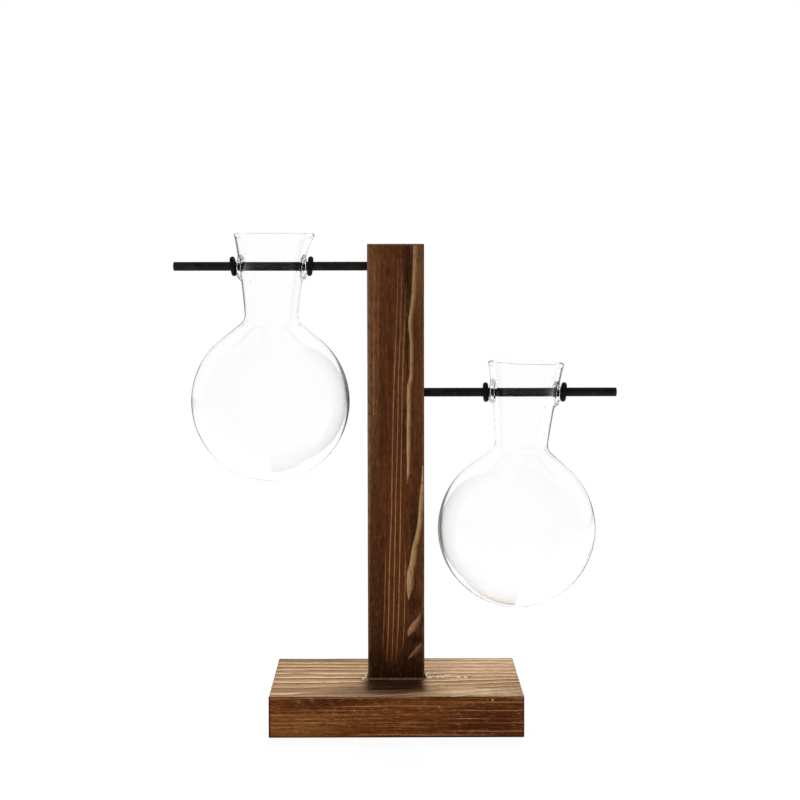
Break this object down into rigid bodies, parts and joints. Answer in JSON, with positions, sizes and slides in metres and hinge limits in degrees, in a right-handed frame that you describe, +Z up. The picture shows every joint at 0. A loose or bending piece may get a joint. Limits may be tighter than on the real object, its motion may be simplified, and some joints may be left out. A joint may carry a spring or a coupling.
{
  "type": "propagation vase",
  "caption": "Wooden stand with a base and an upright post that carries blown glass bulbs on side rods, held by rubber rings, for rooting cuttings in water.",
  "frame": {"origin": "middle of the base's underside, which is also the middle of the whole part seen from above", "axes": "+Z up along the post; +X right, along the rods; +Y back, away from the viewer"},
  "size_m": [0.2232, 0.09, 0.2463],
  "materials": {
    "base_wood": "brown stain, fine straight grain, paler top face",
    "post_wood": "dark brown stain, upright grain with pale streaks",
    "screw_steel": "zinc plated",
    "rod_black": "satin black",
    "ring_rubber": "matte black",
    "blown_glass": "clear, polished"
  },
  "bodies": {
    "stand": {"base": "base_wood", "post": "post_wood", "base_screws": "screw_steel", "left_rod": "rod_black", "right_rod": "rod_black"},
    "left_inner_ring": {"left_inner_ring": "ring_rubber"},
    "left_bulb": {"left_bulb": "blown_glass"},
    "left_outer_ring": {"left_outer_ring": "ring_rubber"},
    "right_inner_ring": {"right_inner_ring": "ring_rubber"},
    "right_bulb": {"right_bulb": "blown_glass"},
    "right_outer_ring": {"right_outer_ring": "ring_rubber"}
  },
  "joints": [
    {"name": "left_ring_slide", "type": "slide", "parent": "stand", "child": "left_inner_ring", "axis": [-1, 0, 0], "range_m": [-0.0085, 0.075]},
    {"name": "left_bulb_swing", "type": "hinge", "parent": "left_inner_ring", "child": "left_bulb", "pos_m": [-0.06215, 0, 0.2296], "axis": [1, 0, 0], "continuous": true},
    {"name": "left_outer_ring_slide", "type": "slide", "parent": "left_inner_ring", "child": "left_outer_ring", "axis": [-1, 0, 0], "range_m": [0, 0.036]},
    {"name": "right_ring_slide", "type": "slide", "parent": "stand", "child": "right_inner_ring", "axis": [1, 0, 0], "range_m": [-0.0063, 0.075]},
    {"name": "right_bulb_swing", "type": "hinge", "parent": "right_inner_ring", "child": "right_bulb", "pos_m": [0.06505, 0, 0.166], "axis": [1, 0, 0], "continuous": true},
    {"name": "right_outer_ring_slide", "type": "slide", "parent": "right_inner_ring", "child": "right_outer_ring", "axis": [1, 0, 0], "range_m": [0, 0.036]}
  ]
}
